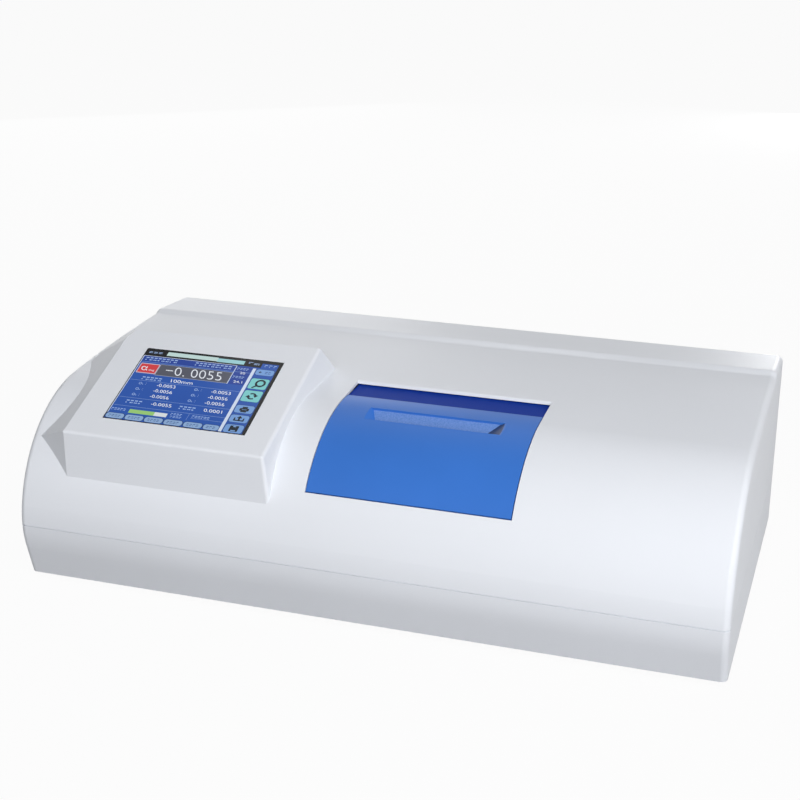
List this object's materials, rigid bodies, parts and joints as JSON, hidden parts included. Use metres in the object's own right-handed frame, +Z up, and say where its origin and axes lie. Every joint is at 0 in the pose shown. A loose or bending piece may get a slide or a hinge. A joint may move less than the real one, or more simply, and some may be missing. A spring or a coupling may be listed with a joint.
{
  "type": "automatic polarimeter",
  "caption": "Bench instrument with a moulded white housing, sloping touch screen console and a blue drum door over its sample tube compartment",
  "frame": {"origin": "on the table, under the middle of the housing", "axes": "+X to the right along the long side, +Y to the rear, +Z up"},
  "size_m": [0.74, 0.4084, 0.2354],
  "materials": {
    "cover_plastic": "fine satin moulded plastic",
    "tray_plastic": "fine satin moulded plastic, greyer",
    "panel_steel": "powder coat",
    "rubber_black": "matt",
    "screw_steel": "zinc plated",
    "touch_glass": "polished, black border",
    "black_plastic": "fine texture",
    "lcd": "lit display",
    "sheet_steel": "zinc sheet",
    "circuit_board": "solder mask",
    "brass": "machined",
    "door_blue": "high gloss",
    "door_dark_blue": "high gloss",
    "black_metal": "matt black paint",
    "anodised": "black anodised",
    "optical_glass": "polished",
    "copper": "enamelled copper wire",
    "filter_amber": "coated",
    "motor_black": "black paint"
  },
  "bodies": {
    "housing": {"base_tray": "tray_plastic", "top_cover": "cover_plastic", "rear_panel": "panel_steel", "rubber_feet": "rubber_black", "foot_screws": "screw_steel", "cover_screws": "screw_steel", "panel_screws": "screw_steel", "touch_glass": "touch_glass", "display_frame": "black_plastic", "lcd_panel": "lcd", "display_bracket": "sheet_steel", "display_board": "circuit_board", "display_standoffs": "brass", "display_screws": "screw_steel", "door_pivot_pins": "screw_steel", "door_buffers": "rubber_black", "door_stops": "screw_steel", "bulkhead_left": "black_metal", "bulkhead_right": "black_metal", "chamber_trough": "black_plastic", "tube_cradle": "anodised", "beam_windows": "optical_glass", "window_rings": "anodised", "optical_bench": "anodised", "bench_pillars": "anodised", "coil_bobbin": "black_plastic", "coil_winding": "copper", "faraday_rod": "optical_glass", "polariser_mount": "anodised", "polariser_prism": "optical_glass", "filter_mount": "anodised", "interference_filter": "filter_amber", "collimator_tube": "anodised", "collimator_lens": "optical_glass", "lamp_housing": "anodised", "led_lamp": "circuit_board", "lamp_heatsink": "anodised", "analyser_housing": "anodised", "motor_bracket": "sheet_steel", "drive_motor": "motor_black", "condenser_tube": "anodised", "condenser_lens": "optical_glass", "detector_housing": "black_metal", "detector_board": "circuit_board", "main_board": "circuit_board", "board_standoffs": "brass", "power_supply": "sheet_steel", "mains_inlet": "black_plastic", "fuse_drawer": "black_plastic", "power_switch": "black_plastic", "usb_ports": "sheet_steel", "serial_port": "sheet_steel"},
    "door": {"door_panel": "door_blue", "door_top_strip": "door_dark_blue", "door_arm_left": "black_plastic", "door_arm_right": "black_plastic"},
    "analyser": {"analyser_gear": "brass", "analyser_prism": "optical_glass"},
    "pinion": {"motor_pinion": "brass"},
    "rocker": {"power_rocker": "black_plastic"}
  },
  "joints": [
    {"name": "door_turn", "type": "hinge", "parent": "housing", "child": "door", "pos_m": [0.0507, -0.06379, 0.0556], "axis": [-1, 0, 0], "range_deg": [0, 60]},
    {"name": "analyser_spin", "type": "hinge", "parent": "housing", "child": "analyser", "pos_m": [-0.0819, -0.12659, 0.106], "axis": [1, 0, 0], "range_deg": [-45, 45]},
    {"name": "pinion_spin", "type": "hinge", "parent": "housing", "child": "pinion", "pos_m": [-0.0819, -0.07947, 0.106], "axis": [1, 0, 0], "range_deg": [-181, 181]},
    {"name": "rocker_tip", "type": "hinge", "parent": "housing", "child": "rocker", "pos_m": [0.215, 0.1962, 0.07], "axis": [1, 0, 0], "range_deg": [0, 24]}
  ],
  "couplings": [
    {"joint": "pinion_spin", "follows": "analyser_spin", "ratio": -4}
  ]
}
